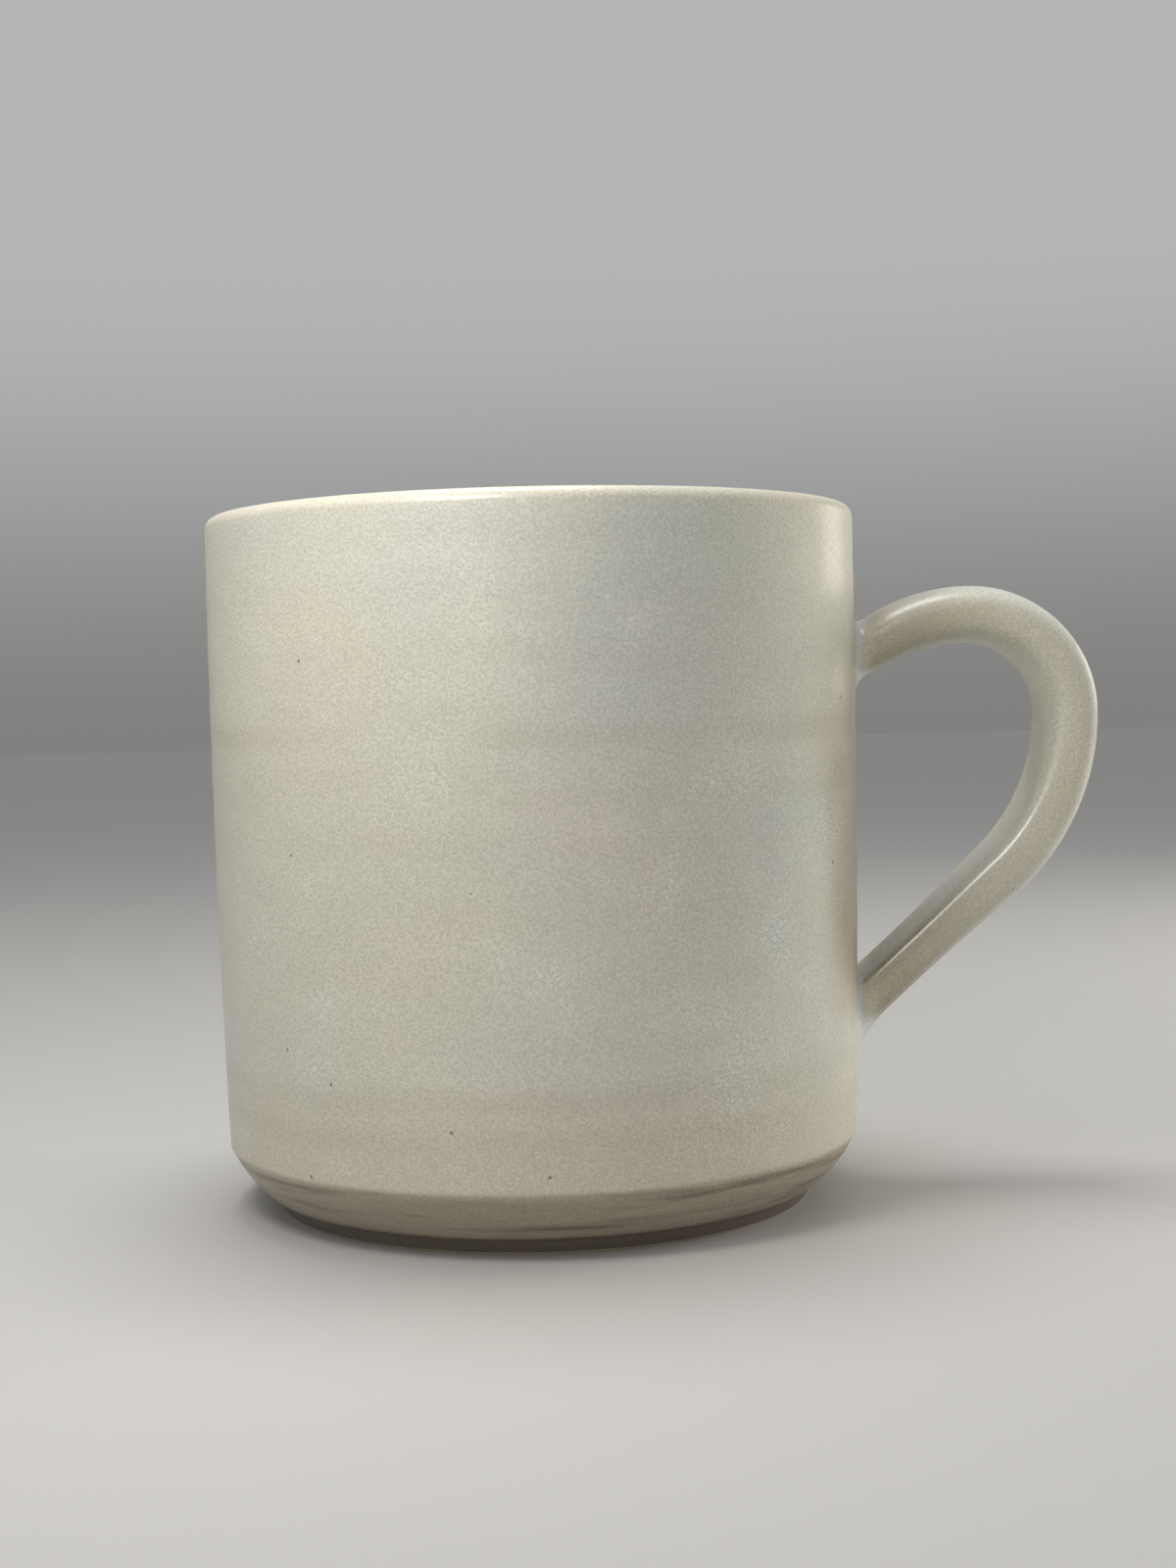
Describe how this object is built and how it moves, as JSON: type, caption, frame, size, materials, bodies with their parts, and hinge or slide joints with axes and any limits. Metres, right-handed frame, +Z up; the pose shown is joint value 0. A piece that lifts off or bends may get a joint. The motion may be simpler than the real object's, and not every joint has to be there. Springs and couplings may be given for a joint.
{
  "type": "stoneware mug",
  "caption": "Straight-sided handmade stoneware mug with a bevelled base, foot ring and pulled strap handle, in a satin cream glaze.",
  "frame": {"origin": "on the mug's axis, in the plane that it stands on", "axes": "+Z up along the mug's axis, +X towards the handle, +Y to the left of the handle as seen from outside it"},
  "size_m": [0.1199, 0.0868, 0.092],
  "materials": {
    "glaze": "satin matte cream glaze with fine mottling and a few iron specks",
    "bare_clay": "unglazed fired buff stoneware on the foot ring"
  },
  "bodies": {
    "root": {"mug": "glaze"}
  },
  "joints": []
}
